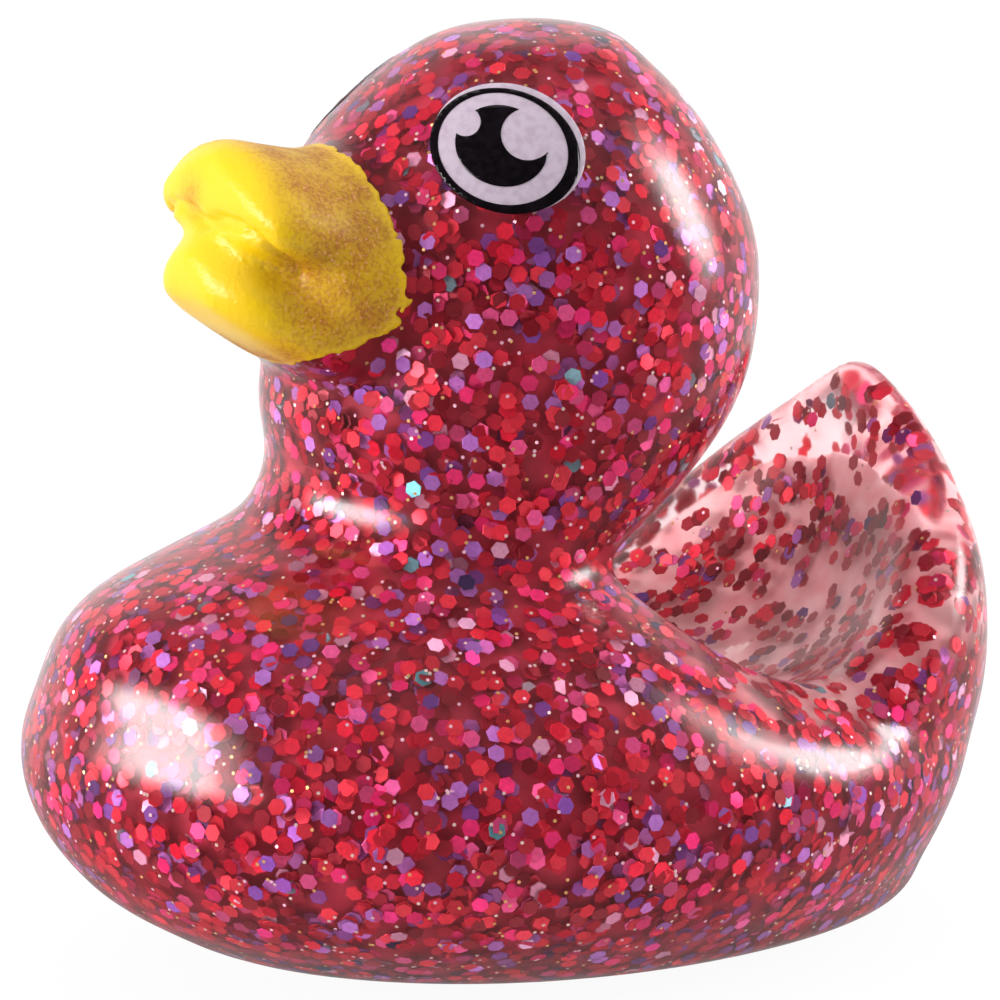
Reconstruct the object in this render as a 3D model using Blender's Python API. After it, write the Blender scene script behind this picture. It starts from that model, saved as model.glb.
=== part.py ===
"""A small hollow duck moulded in one piece, facing -Y and resting on a flat base at z = 0."""

import math

import bmesh
import bpy
import numpy as np

MM = 0.001

# Body: height, front, widest line, rear and half-width of the level sections, in mm.
BODY_STATIONS = (
    (0.0, -8.5, 5.5, 23.0, 9.5),
    (0.9, -15.0, 4.5, 25.6, 13.6),
    (3.9, -23.2, 0.0, 27.2, 18.8),
    (7.6, -27.5, -2.0, 28.7, 22.2),
    (11.2, -29.3, -3.0, 29.6, 23.4),
    (14.4, -29.5, -3.0, 28.0, 22.8),
    (16.6, -28.8, -3.0, 21.0, 21.6),
    (20.4, -27.6, -3.5, 10.5, 18.6),
    (22.4, -26.0, -3.8, 7.0, 16.0),
    (24.0, -23.0, -4.0, 4.5, 13.4),
    (26.5, -15.4, -4.5, 2.0, 11.5),
)

# Tail: the same five sizes.
TAIL_STATIONS = (
    (6.0, 8.0, 12.0, 26.6, 12.0),
    (11.0, 8.0, 13.5, 29.8, 16.4),
    (15.0, 10.0, 15.0, 30.3, 17.6),
    (19.0, 16.8, 18.0, 29.9, 17.0),
    (22.5, 20.0, 21.0, 29.0, 15.3),
    (26.4, 22.6, 23.4, 27.9, 11.3),
    (29.0, 23.8, 24.5, 27.3, 7.7),
    (31.2, 24.0, 24.5, 26.4, 4.1),
    (32.7, 24.3, 24.6, 25.5, 1.4),
)

# Hollow of the back, an ellipsoid cut between neck and tail: centre and half-sizes.
DISH_CENTRE = (0.0, 11.8, 31.0)
DISH_HALF = (24.0, 12.0, 17.0)

# Neck and head: height, middle along Y, radius along Y and radius across.
HEAD_STATIONS = (
    (16.0, -8.4, 9.4, 10.0),
    (22.0, -7.9, 10.0, 11.2),
    (25.9, -4.4, 11.4, 12.3),
    (29.5, -1.4, 12.6, 13.1),
    (33.2, -0.3, 14.3, 13.9),
    (38.7, 0.9, 14.3, 14.2),
    (42.4, 0.9, 14.1, 14.0),
    (46.0, 0.5, 13.1, 13.0),
    (49.7, 0.7, 10.7, 10.8),
    (53.0, 1.2, 7.0, 7.3),
    (54.8, 1.8, 3.5, 3.5),
    (55.2, 1.9, 0.8, 0.8),
)

# Bill root and lips: distance in front of Y = 0, middle height, half-height and half-width.
ROOT_STATIONS = (
    (5.0, 42.0, 7.1, 8.4),
    (9.0, 42.3, 6.7, 8.7),
    (13.0, 43.0, 5.7, 8.2),
    (15.2, 43.8, 4.4, 7.2),
    (16.6, 44.2, 2.4, 4.6),
)
UPPER_STATIONS = (
    (9.0, 44.0, 4.6, 7.0),
    (13.0, 44.9, 3.8, 7.2),
    (16.2, 46.1, 3.3, 7.5),
    (18.2, 46.7, 3.0, 7.2),
    (19.1, 46.6, 2.3, 6.4),
    (19.6, 46.4, 1.3, 4.8),
)
LOWER_STATIONS = (
    (5.0, 39.4, 4.2, 7.4),
    (9.0, 39.3, 4.0, 7.5),
    (13.0, 39.5, 4.1, 7.2),
    (15.5, 40.2, 3.6, 6.8),
    (17.5, 41.1, 3.1, 6.0),
    (19.8, 42.1, 2.3, 4.8),
    (21.0, 42.4, 1.2, 3.0),
)

# How far the sides of the bill hang below its middle.
BILL_DROOP = 1.2

WALL = 1.9
BASE_CUT = 0.25
VENT_DIAMETER = 3.0
VENT_Y = 16.0
VENT_CUTTER_LENGTH = 8.0

# Grid sizes, rounds of smoothing and triangle counts of the outer and inner surfaces.
VOXEL_OUTER = 0.5
VOXEL_INNER = 0.8
BLEND_ROUNDS = 14
BILL_ROUNDS = 4
INNER_ROUNDS = 1
OUTER_TRIANGLES = 8000
INNER_TRIANGLES = 3200
RING_POINTS = 72
STEP = 0.8


def clear_scene():
    for obj in list(bpy.data.objects):
        bpy.data.objects.remove(obj, do_unlink=True)


def object_from(name, bm):
    """Turns the bmesh into an object of the scene, with its faces out."""
    bmesh.ops.recalc_face_normals(bm, faces=bm.faces)
    mesh = bpy.data.meshes.new(name)
    bm.to_mesh(mesh)
    bm.free()
    obj = bpy.data.objects.new(name, mesh)
    bpy.context.scene.collection.objects.link(obj)
    return obj


def through(stations):
    """Samples a smooth curve through the stations, evenly along their first size."""
    points = np.array(stations)
    at = points[:, 0]
    count = max(2, int(round((at[-1] - at[0]) / STEP)) + 1)
    fine = np.linspace(at[0], at[-1], count)
    columns = [fine]
    for values in points[:, 1:].T:
        slopes = np.gradient(values, at)
        which = np.clip(np.searchsorted(at, fine, side="right") - 1, 0, len(at) - 2)
        width = at[which + 1] - at[which]
        t = (fine - at[which]) / width
        low = (1 + 2 * t) * (1 - t) ** 2 * values[which] + t * (1 - t) ** 2 * width * slopes[which]
        high = t**2 * (3 - 2 * t) * values[which + 1] + t**2 * (t - 1) * width * slopes[which + 1]
        columns.append(low + high)
    return np.array(columns).T


def loft(name, rings):
    """Joins rings of equal length into one closed body."""
    bm = bmesh.new()
    loops = [[bm.verts.new([c * MM for c in point]) for point in ring] for ring in rings]
    for low, high in zip(loops, loops[1:]):
        for i in range(len(low)):
            j = (i + 1) % len(low)
            bm.faces.new((low[i], low[j], high[j], high[i]))
    bm.faces.new(loops[0][::-1])
    bm.faces.new(loops[-1])
    return object_from(name, bm)


def egg_ring(z, front, middle, rear, half_width):
    """A level section whose front and rear halves are half ellipses that meet at the widest line."""
    ring = []
    for i in range(RING_POINTS):
        angle = 2 * math.pi * i / RING_POINTS
        reach = rear - middle if math.sin(angle) > 0 else middle - front
        ring.append((half_width * math.cos(angle), middle + reach * math.sin(angle), z))
    return ring


def level_loft(name, stations):
    return loft(name, [egg_ring(*row) for row in through(stations)])


def head_loft():
    rings = []
    for z, middle, along, across in through(HEAD_STATIONS):
        rings.append(egg_ring(z, middle - along, middle, middle + along, across))
    return loft("head", rings)


def bill_loft(stations):
    rings = []
    for ahead, middle, half_height, half_width in through(stations):
        ring = []
        for i in range(RING_POINTS):
            angle = 2 * math.pi * i / RING_POINTS
            across = math.cos(angle)
            z = middle + half_height * math.sin(angle) - BILL_DROOP * across**2
            ring.append((half_width * across, -ahead, z))
        rings.append(ring)
    return loft("bill", rings)


def ellipsoid(name, centre, half):
    bm = bmesh.new()
    bmesh.ops.create_uvsphere(bm, u_segments=64, v_segments=32, radius=1.0)
    bmesh.ops.scale(bm, vec=[h * MM for h in half], verts=bm.verts)
    bmesh.ops.translate(bm, vec=[c * MM for c in centre], verts=bm.verts)
    return object_from(name, bm)


def apply_modifiers(obj):
    graph = bpy.context.evaluated_depsgraph_get()
    mesh = bpy.data.meshes.new_from_object(obj.evaluated_get(graph))
    obj.modifiers.clear()
    obj.data = mesh


def combine(target, other, operation):
    modifier = target.modifiers.new(operation.lower(), "BOOLEAN")
    modifier.operation = operation
    modifier.solver = "EXACT"
    modifier.object = other
    apply_modifiers(target)
    bpy.data.objects.remove(other, do_unlink=True)


def remesh(obj, voxel, rounds):
    modifier = obj.modifiers.new("remesh", "REMESH")
    modifier.mode = "VOXEL"
    modifier.voxel_size = voxel * MM
    smooth = obj.modifiers.new("smooth", "SMOOTH")
    smooth.factor = 0.5
    smooth.iterations = rounds
    apply_modifiers(obj)


def reduce_to(obj, triangles):
    obj.data.calc_loop_triangles()
    modifier = obj.modifiers.new("reduce", "DECIMATE")
    modifier.ratio = triangles / len(obj.data.loop_triangles)
    apply_modifiers(obj)


def keep_largest(obj):
    """Removes every loose piece but the one with the most points."""
    bm = bmesh.new()
    bm.from_mesh(obj.data)
    left = set(bm.verts)
    pieces = []
    while left:
        piece = {left.pop()}
        edge_of_piece = list(piece)
        while edge_of_piece:
            vertex = edge_of_piece.pop()
            near = {edge.other_vert(vertex) for edge in vertex.link_edges} & left
            left -= near
            piece |= near
            edge_of_piece.extend(near)
        pieces.append(piece)
    pieces.sort(key=len)
    for piece in pieces[:-1]:
        bmesh.ops.delete(bm, geom=list(piece), context="VERTS")
    bm.to_mesh(obj.data)
    bm.free()


def copy_of(obj, name):
    copy = bpy.data.objects.new(name, obj.data.copy())
    bpy.context.scene.collection.objects.link(copy)
    return copy


def cut_base(obj, height):
    """Cuts the object level at this height and closes it with one flat face."""
    bm = bmesh.new()
    bm.from_mesh(obj.data)
    geometry = bm.verts[:] + bm.edges[:] + bm.faces[:]
    cut = bmesh.ops.bisect_plane(
        bm, geom=geometry, plane_co=(0, 0, height * MM), plane_no=(0, 0, -1), clear_outer=True
    )
    edges = [item for item in cut["geom_cut"] if isinstance(item, bmesh.types.BMEdge)]
    bmesh.ops.edgeloop_fill(bm, edges=edges)
    bm.to_mesh(obj.data)
    bm.free()


def build_outside():
    body = level_loft("duck_shell", BODY_STATIONS)
    combine(body, level_loft("tail", TAIL_STATIONS), "UNION")
    combine(body, ellipsoid("dish", DISH_CENTRE, DISH_HALF), "DIFFERENCE")
    combine(body, head_loft(), "UNION")
    return body


def hollow_from(outside):
    """The cavity: the outside without the bill, drawn in by the wall."""
    hollow = copy_of(outside, "hollow")
    shrink = hollow.modifiers.new("shrink", "DISPLACE")
    shrink.mid_level = 0.0
    shrink.strength = -WALL * MM
    apply_modifiers(hollow)
    remesh(hollow, VOXEL_INNER, INNER_ROUNDS)
    keep_largest(hollow)
    reduce_to(hollow, INNER_TRIANGLES)
    return hollow


def outer_and_hollow():
    """The outside with its bill, cut level at the base, and the cavity that belongs in it."""
    duck = build_outside()
    remesh(duck, VOXEL_OUTER, BLEND_ROUNDS)
    hollow = hollow_from(duck)
    for stations in (ROOT_STATIONS, UPPER_STATIONS, LOWER_STATIONS):
        combine(duck, bill_loft(stations), "UNION")
    remesh(duck, VOXEL_OUTER, BILL_ROUNDS)
    reduce_to(duck, OUTER_TRIANGLES)
    cut_base(duck, BASE_CUT)
    return duck, hollow


def vent_cutter():
    radius = VENT_DIAMETER / 2 * MM
    bm = bmesh.new()
    depth = VENT_CUTTER_LENGTH * MM
    bmesh.ops.create_cone(bm, cap_ends=True, segments=32, radius1=radius, radius2=radius, depth=depth)
    bmesh.ops.translate(bm, vec=(0, VENT_Y * MM, 0), verts=bm.verts)
    return object_from("vent", bm)


def set_on_origin(obj):
    corners = np.array([vertex.co for vertex in obj.data.vertices])
    low = corners.min(axis=0)
    high = corners.max(axis=0)
    shift = np.array([(low[0] + high[0]) / 2, (low[1] + high[1]) / 2, low[2]])
    for vertex in obj.data.vertices:
        vertex.co = [float(c) for c in np.array(vertex.co) - shift]


def material(name, colour, roughness):
    made = bpy.data.materials.new(name)
    made.use_nodes = True
    shader = made.node_tree.nodes["Principled BSDF"]
    shader.inputs["Base Color"].default_value = (*colour, 1.0)
    shader.inputs["Roughness"].default_value = roughness
    shader.inputs["Metallic"].default_value = 0.0
    return made


def main():
    clear_scene()
    duck, hollow = outer_and_hollow()
    combine(duck, hollow, "DIFFERENCE")
    combine(duck, vent_cutter(), "DIFFERENCE")
    set_on_origin(duck)
    duck.data.materials.clear()
    duck.data.materials.append(material("clear_pvc", (0.75, 0.12, 0.2), 0.2))
    for polygon in duck.data.polygons:
        polygon.use_smooth = True


main()
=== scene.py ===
"""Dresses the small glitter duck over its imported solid: clear wall, flakes, painted bill and printed eyes.

Everything is in metres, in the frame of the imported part: it faces -Y and rests on z = 0.
"""

import logging
import math
from collections.abc import Callable
from dataclasses import dataclass
from enum import Enum

import bmesh
import bpy
import numpy as np
from mathutils import Matrix, Quaternion, Vector, noise
from mathutils.bvhtree import BVHTree


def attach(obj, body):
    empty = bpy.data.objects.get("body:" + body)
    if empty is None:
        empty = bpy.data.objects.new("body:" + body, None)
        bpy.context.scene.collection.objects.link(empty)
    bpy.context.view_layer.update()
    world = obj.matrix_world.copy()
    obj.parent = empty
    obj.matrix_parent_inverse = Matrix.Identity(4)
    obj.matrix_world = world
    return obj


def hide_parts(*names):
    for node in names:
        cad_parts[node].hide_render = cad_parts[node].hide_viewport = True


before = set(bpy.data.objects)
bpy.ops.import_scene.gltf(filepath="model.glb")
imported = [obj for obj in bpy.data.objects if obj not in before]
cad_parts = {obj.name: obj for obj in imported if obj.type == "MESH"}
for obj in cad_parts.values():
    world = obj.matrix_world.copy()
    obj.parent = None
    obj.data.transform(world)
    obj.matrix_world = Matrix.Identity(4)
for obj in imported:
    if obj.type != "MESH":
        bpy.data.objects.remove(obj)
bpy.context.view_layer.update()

MM = 0.001
NODE = "duck_shell"
SCOOP_CENTRE = np.array([0.0, 11.4, 30.7]) * MM
SCOOP_RADII = np.array([24.0, 12.0, 17.0]) * MM
HEAD_CENTRE = np.array([0.0, 0.0, 40.0]) * MM
HEAD_RADII = np.array([15.5, 15.0, 15.5]) * MM

# Where the scoop and the tail begin, whose inner face is painted pale for the light that shines through the
# thin plastic: shares of the radii above, and limits along Y and Z.
SCOOP_FADE = (1.10, 1.30)
SCOOP_FRONT = (2.0 * MM, 7.0 * MM)
TAIL_RISE = (15.5 * MM, 20.0 * MM)
TAIL_FRONT = (0.0, 8.0 * MM)
HEAD_FADE = (1.02, 1.12)

BILL_ROOT = -14.5 * MM
BILL_FOOT = 33.0 * MM
UPPER_LIP_PATCH = np.array([-1.8, -20.0, 46.2]) * MM

# Points along the lips in millimetres, from the middle to the corner of the +X side.
LIP_CREASE = (
    (0.0, -20.2, 44.9), (1.8, -20.0, 45.4), (4.1, -20.0, 45.4),
    (5.6, -19.6, 44.8), (5.9, -18.5, 43.8), (5.6, -17.0, 42.6),
)
LIP_RIDGE = (
    (0.0, -19.3, 48.6), (1.7, -19.5, 48.1), (4.0, -19.6, 47.1),
    (6.2, -19.3, 45.9), (7.0, -18.2, 44.7), (7.2, -16.6, 43.6),
)

# Sockets of the Mix node, by number because their names repeat.
MIX_SHARE = 0
MIX_FLOATS = (2, 3)
MIX_FLOAT_OUT = 0
MIX_COLOURS = (6, 7)
MIX_COLOUR_OUT = 2

LOG = logging.getLogger("duck")

Colour = tuple[float, float, float]


def linear(red: float, green: float, blue: float) -> Colour:
    """Turns a colour as a screen shows it, 0 to 255, into the linear one that a shader takes.

    Args:
        red: Red, 0 to 255.
        green: Green, 0 to 255.
        blue: Blue, 0 to 255.

    Returns:
        The three linear values.
    """
    values = []
    for channel in (red, green, blue):
        share = channel / 255
        values.append(share / 12.92 if share <= 0.04045 else ((share + 0.055) / 1.055) ** 2.4)
    return values[0], values[1], values[2]


def ramp(values: np.ndarray, low: float, high: float) -> np.ndarray:
    """Rises smoothly from 0 to 1 between two limits.

    Args:
        values: The values to place.
        low: The limit that gives 0.
        high: The limit that gives 1.

    Returns:
        One share for each value.
    """
    share = np.clip((values - low) / (high - low), 0.0, 1.0)
    return share * share * (3 - 2 * share)


def activate(obj: bpy.types.Object) -> None:
    """Deselects everything and makes this object the selected and active one."""
    bpy.ops.object.select_all(action="DESELECT")
    obj.select_set(True)
    bpy.context.view_layer.objects.active = obj


def apply_modifier(obj: bpy.types.Object, kind: str, **settings: object) -> None:
    """Adds one modifier to an object and applies it.

    Args:
        obj: The object to change.
        kind: The modifier's type.
        settings: The modifier's own settings.
    """
    activate(obj)
    modifier = obj.modifiers.new(kind.lower(), kind)
    for name, value in settings.items():
        setattr(modifier, name, value)
    bpy.ops.object.modifier_apply(modifier=modifier.name)


def duplicate(obj: bpy.types.Object, name: str) -> bpy.types.Object:
    """Copies an object with a mesh of its own.

    Args:
        obj: The object to copy.
        name: The copy's name.

    Returns:
        The copy, with no parent and at the origin.
    """
    copy = bpy.data.objects.new(name, obj.data.copy())
    copy.data.name = name
    bpy.context.scene.collection.objects.link(copy)
    return copy


def face_data(mesh: bpy.types.Mesh) -> tuple[np.ndarray, np.ndarray, np.ndarray]:
    """Reads a mesh's faces.

    Args:
        mesh: The mesh to read.

    Returns:
        The centres, the normals and the areas of its faces.
    """
    count = len(mesh.polygons)
    centres = np.empty(count * 3)
    normals = np.empty(count * 3)
    areas = np.empty(count)
    mesh.polygons.foreach_get("center", centres)
    mesh.polygons.foreach_get("normal", normals)
    mesh.polygons.foreach_get("area", areas)
    return centres.reshape(-1, 3), normals.reshape(-1, 3), areas


def vertex_data(mesh: bpy.types.Mesh) -> np.ndarray:
    """Reads the places of a mesh's vertices as rows."""
    places = np.empty(len(mesh.vertices) * 3)
    mesh.vertices.foreach_get("co", places)
    return places.reshape(-1, 3)


def delete_faces(obj: bpy.types.Object, unwanted: np.ndarray) -> None:
    """Deletes some faces of an object, in edit mode.

    Args:
        obj: The object to change.
        unwanted: One truth value for each face.
    """
    activate(obj)
    bpy.ops.object.mode_set(mode="EDIT")
    bpy.ops.mesh.select_mode(type="FACE")
    bpy.ops.mesh.select_all(action="DESELECT")
    bpy.ops.object.mode_set(mode="OBJECT")
    obj.data.polygons.foreach_set("select", unwanted)
    bpy.ops.object.mode_set(mode="EDIT")
    bpy.ops.mesh.delete(type="FACE")
    bpy.ops.object.mode_set(mode="OBJECT")


def outward(obj: bpy.types.Object) -> None:
    """Turns all the faces of a closed object outwards."""
    activate(obj)
    bpy.ops.object.mode_set(mode="EDIT")
    bpy.ops.mesh.select_all(action="SELECT")
    bpy.ops.mesh.normals_make_consistent(inside=False)
    bpy.ops.object.mode_set(mode="OBJECT")


def set_attribute(mesh: bpy.types.Mesh, name: str, values: np.ndarray) -> None:
    """Writes one number for each vertex of a mesh.

    Args:
        mesh: The mesh to write to.
        name: The attribute's name.
        values: The numbers.
    """
    attribute = mesh.attributes.new(name, "FLOAT", "POINT")
    attribute.data.foreach_set("value", values.astype(np.float32))


def dish_share(places: np.ndarray) -> np.ndarray:
    """How far each place belongs to the scooped back and the tail, where the inner face is painted pale for
    the light that shines through the thin plastic.

    Args:
        places: Places on or in the wall.

    Returns:
        0 for the body and the head, up to 1 in the scoop and on the tail.
    """
    reach = np.linalg.norm((places - SCOOP_CENTRE) / SCOOP_RADII, axis=1)
    scoop = (1 - ramp(reach, *SCOOP_FADE)) * ramp(places[:, 1], *SCOOP_FRONT)
    tail = ramp(places[:, 2], *TAIL_RISE) * ramp(places[:, 1], *TAIL_FRONT)
    head = np.linalg.norm((places - HEAD_CENTRE) / HEAD_RADII, axis=1)
    return np.maximum(scoop, tail) * ramp(head, *HEAD_FADE)


def grain(places: np.ndarray, size: float) -> np.ndarray:
    """Reads Blender's own noise at each place.

    Args:
        places: The places to read it at.
        size: The size of its lumps in metres.

    Returns:
        One value for each place, about -1 to 1.
    """
    return np.array([noise.noise(Vector(place) / size) for place in places])


def off_line(places: np.ndarray, line: tuple[tuple[float, float, float], ...]) -> np.ndarray:
    """Measures how far each place lies from a line, taken on both sides of the object.

    Args:
        places: The places to measure from.
        line: The line's points in millimetres.

    Returns:
        One distance in metres for each place.
    """
    points = np.array(line) * MM
    mirrored = points * np.array([-1.0, 1.0, 1.0])
    nearest = np.full(len(places), np.inf)
    for route in (points, mirrored):
        for start, end in zip(route[:-1], route[1:]):
            along = end - start
            share = np.clip((places - start) @ along / (along @ along), 0.0, 1.0)
            gap = np.linalg.norm(places - start - share[:, None] * along, axis=1)
            nearest = np.minimum(nearest, gap)
    return nearest


def axes_towards(azimuth: float, elevation: float) -> tuple[Vector, Vector, Vector]:
    """Works out the directions as seen by someone who looks at the object.

    Args:
        azimuth: Where they stand, in degrees round from -Y towards +X.
        elevation: How high they stand, in degrees.

    Returns:
        Their right, their up, and the direction from the object back to them.
    """
    around = math.radians(azimuth)
    above = math.radians(elevation)
    right = Vector((math.cos(around), math.sin(around), 0.0))
    back = Vector((
        math.sin(around) * math.cos(above),
        -math.cos(around) * math.cos(above),
        math.sin(above),
    ))
    return right, back.cross(right), back


class NodeShop:
    """Makes and links the nodes of one shader tree."""

    def __init__(self, tree: bpy.types.NodeTree) -> None:
        """Keeps the tree to work on."""
        self.tree = tree

    def add(self, kind: str, **settings: object) -> bpy.types.Node:
        """Adds a node.

        Args:
            kind: The node's type.
            settings: The node's own settings.

        Returns:
            The new node.
        """
        node = self.tree.nodes.new(kind)
        for name, value in settings.items():
            setattr(node, name, value)
        return node

    def link(self, start: bpy.types.NodeSocket, end: bpy.types.NodeSocket) -> None:
        """Joins two sockets."""
        self.tree.links.new(start, end)

    def mix(self, low: Colour | bpy.types.NodeSocket, high: Colour | bpy.types.NodeSocket,
            share: bpy.types.NodeSocket) -> bpy.types.NodeSocket:
        """Mixes two colours.

        Args:
            low: The colour where the share is 0.
            high: The colour where the share is 1.
            share: The socket that gives the share.

        Returns:
            The socket with the mixed colour.
        """
        node = self.add("ShaderNodeMix", data_type="RGBA")
        self.link(share, node.inputs["Factor"])
        for value, number in zip((low, high), MIX_COLOURS):
            if isinstance(value, tuple):
                node.inputs[number].default_value = (*value, 1.0)
            else:
                self.link(value, node.inputs[number])
        return node.outputs[MIX_COLOUR_OUT]

    def math(self, operation: str, first: bpy.types.NodeSocket,
             second: float | bpy.types.NodeSocket) -> bpy.types.NodeSocket:
        """Does one sum.

        Args:
            operation: The Math node's operation.
            first: The first value.
            second: The second value, a number or a socket.

        Returns:
            The socket with the result.
        """
        node = self.add("ShaderNodeMath", operation=operation, use_clamp=operation != "SUBTRACT")
        self.link(first, node.inputs[0])
        if isinstance(second, (int, float)):
            node.inputs[1].default_value = second
        else:
            self.link(second, node.inputs[1])
        return node.outputs[0]


def speckle_group() -> bpy.types.NodeTree:
    """Builds the shared grain: a noise in object space, cut to a mask between two levels.

    Returns:
        The node group, with inputs Scale, Low and High and outputs Mask and Height.
    """
    tree = bpy.data.node_groups.new("speckle", "ShaderNodeTree")
    for name, value in (("Scale", 1000.0), ("Low", 0.4), ("High", 0.6)):
        socket = tree.interface.new_socket(name, in_out="INPUT", socket_type="NodeSocketFloat")
        socket.default_value = value
    for name in ("Mask", "Height"):
        tree.interface.new_socket(name, in_out="OUTPUT", socket_type="NodeSocketFloat")
    shop = NodeShop(tree)
    start = shop.add("NodeGroupInput")
    end = shop.add("NodeGroupOutput")
    place = shop.add("ShaderNodeTexCoord")
    grain = shop.add("ShaderNodeTexNoise")
    grain.inputs["Detail"].default_value = 1.0
    cut = shop.add("ShaderNodeMapRange")
    shop.link(place.outputs["Object"], grain.inputs["Vector"])
    shop.link(start.outputs["Scale"], grain.inputs["Scale"])
    shop.link(grain.outputs["Fac"], cut.inputs["Value"])
    shop.link(start.outputs["Low"], cut.inputs["From Min"])
    shop.link(start.outputs["High"], cut.inputs["From Max"])
    shop.link(cut.outputs["Result"], end.inputs["Mask"])
    shop.link(grain.outputs["Fac"], end.inputs["Height"])
    return tree


SPECKLE = speckle_group()


@dataclass(frozen=True)
class Finish:
    """What every finish has: a name and the shared grain."""

    name: str

    def start(self) -> tuple[bpy.types.Material, NodeShop, bpy.types.Node]:
        """Makes a material with its Principled shader.

        Returns:
            The material, its node maker and the shader.
        """
        material = bpy.data.materials.new(self.name)
        material.use_nodes = True
        shop = NodeShop(material.node_tree)
        return material, shop, material.node_tree.nodes["Principled BSDF"]

    def speckle(self, shop: NodeShop, size: float, low: float, high: float) -> bpy.types.Node:
        """Adds the shared grain to a material.

        Args:
            shop: The material's node maker.
            size: The grain's size in metres.
            low: The noise level where the mask starts.
            high: The noise level where the mask is full.

        Returns:
            The group node, with outputs Mask and Height.
        """
        node = shop.add("ShaderNodeGroup", node_tree=SPECKLE)
        node.inputs["Scale"].default_value = 1 / size
        node.inputs["Low"].default_value = low
        node.inputs["High"].default_value = high
        return node

    def bump(self, shop: NodeShop, height: bpy.types.NodeSocket, depth: float,
             shader: bpy.types.Node) -> None:
        """Gives a shader a bump.

        Args:
            shop: The material's node maker.
            height: The socket that gives the height.
            depth: The bump's depth in metres.
            shader: The shader that takes it.
        """
        node = shop.add("ShaderNodeBump")
        node.inputs["Strength"].default_value = 1.0
        node.inputs["Distance"].default_value = depth
        shop.link(height, node.inputs["Height"])
        shop.link(node.outputs["Normal"], shader.inputs["Normal"])

    def roughen(self, shop: NodeShop, share: bpy.types.NodeSocket, limits: tuple[float, float],
                shader: bpy.types.Node) -> None:
        """Lets a shader's roughness run between two limits.

        Args:
            shop: The material's node maker.
            share: The socket that says how far along it is.
            limits: The roughness at 0 and at 1.
            shader: The shader that takes it.
        """
        node = shop.add("ShaderNodeMapRange")
        node.inputs["To Min"].default_value = limits[0]
        node.inputs["To Max"].default_value = limits[1]
        shop.link(share, node.inputs["Value"])
        shop.link(node.outputs["Result"], shader.inputs["Roughness"])


@dataclass(frozen=True)
class ClearWall(Finish):
    """The clear, faintly pink plastic, seen from outside."""

    tint: Colour = (1.0, 0.78, 0.81)
    tint_of_straight_light: Colour = (1.0, 0.88, 0.9)
    index: float = 1.53
    roughness: tuple[float, float] = (0.16, 0.24)
    smudge_size: float = 9 * MM
    smudge_levels: tuple[float, float] = (0.45, 0.7)
    wave_size: float = 4 * MM
    wave_depth: float = 0.05 * MM

    def build(self) -> bpy.types.Material:
        """Builds the glass-like material, which lets light straight through to and from the flakes."""
        material, shop, shader = self.start()
        shader.inputs["Base Color"].default_value = (*self.tint, 1.0)
        shader.inputs["IOR"].default_value = self.index
        shader.inputs["Transmission Weight"].default_value = 1.0
        smudge = self.speckle(shop, self.smudge_size, *self.smudge_levels)
        self.roughen(shop, smudge.outputs["Mask"], self.roughness, shader)
        wave = self.speckle(shop, self.wave_size, 0.0, 1.0)
        self.bump(shop, wave.outputs["Height"], self.wave_depth, shader)
        path = shop.add("ShaderNodeLightPath")
        clear = shop.add("ShaderNodeBsdfTransparent")
        clear.inputs["Color"].default_value = (*self.tint_of_straight_light, 1.0)
        straight = shop.math("ADD", path.outputs["Is Shadow Ray"], path.outputs["Is Diffuse Ray"])
        both = shop.add("ShaderNodeMixShader")
        out = material.node_tree.nodes["Material Output"]
        shop.link(straight, both.inputs["Fac"])
        shop.link(shader.outputs["BSDF"], both.inputs[1])
        shop.link(clear.outputs["BSDF"], both.inputs[2])
        shop.link(both.outputs["Shader"], out.inputs["Surface"])
        return material


@dataclass(frozen=True)
class MilkyWall(Finish):
    """The inner face of the wall: cloudy plastic, painted paler in the scoop and the tail for the light that
    shines through the thin plastic there.
    """

    deep: Colour = linear(212, 46, 78)
    dark: Colour = linear(170, 26, 52)
    # Painted light: the pale colours stand for the light that shines through the thin plastic of the scoop
    # and the tail.
    through_glow: Colour = linear(255, 222, 220)
    blush: Colour = linear(246, 184, 186)
    roughness: float = 0.6
    cloud_size: float = 1.6 * MM
    cloud_levels: tuple[float, float] = (0.35, 0.7)
    cloud_depth: float = 0.1 * MM

    def build(self) -> bpy.types.Material:
        """Builds the cloudy material, mottled so that the ground between the flakes isn't even."""
        material, shop, shader = self.start()
        # Painted light: the share of the pale colours, for light shining through the thin wall.
        share = shop.add("ShaderNodeAttribute", attribute_name="through_glow")
        cloud = self.speckle(shop, self.cloud_size, *self.cloud_levels)
        body = shop.mix(self.deep, self.dark, cloud.outputs["Mask"])
        tail = shop.mix(self.through_glow, self.blush, cloud.outputs["Mask"])
        shop.link(shop.mix(body, tail, share.outputs["Fac"]), shader.inputs["Base Color"])
        shader.inputs["Roughness"].default_value = self.roughness
        self.bump(shop, cloud.outputs["Height"], self.cloud_depth, shader)
        return material


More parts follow.
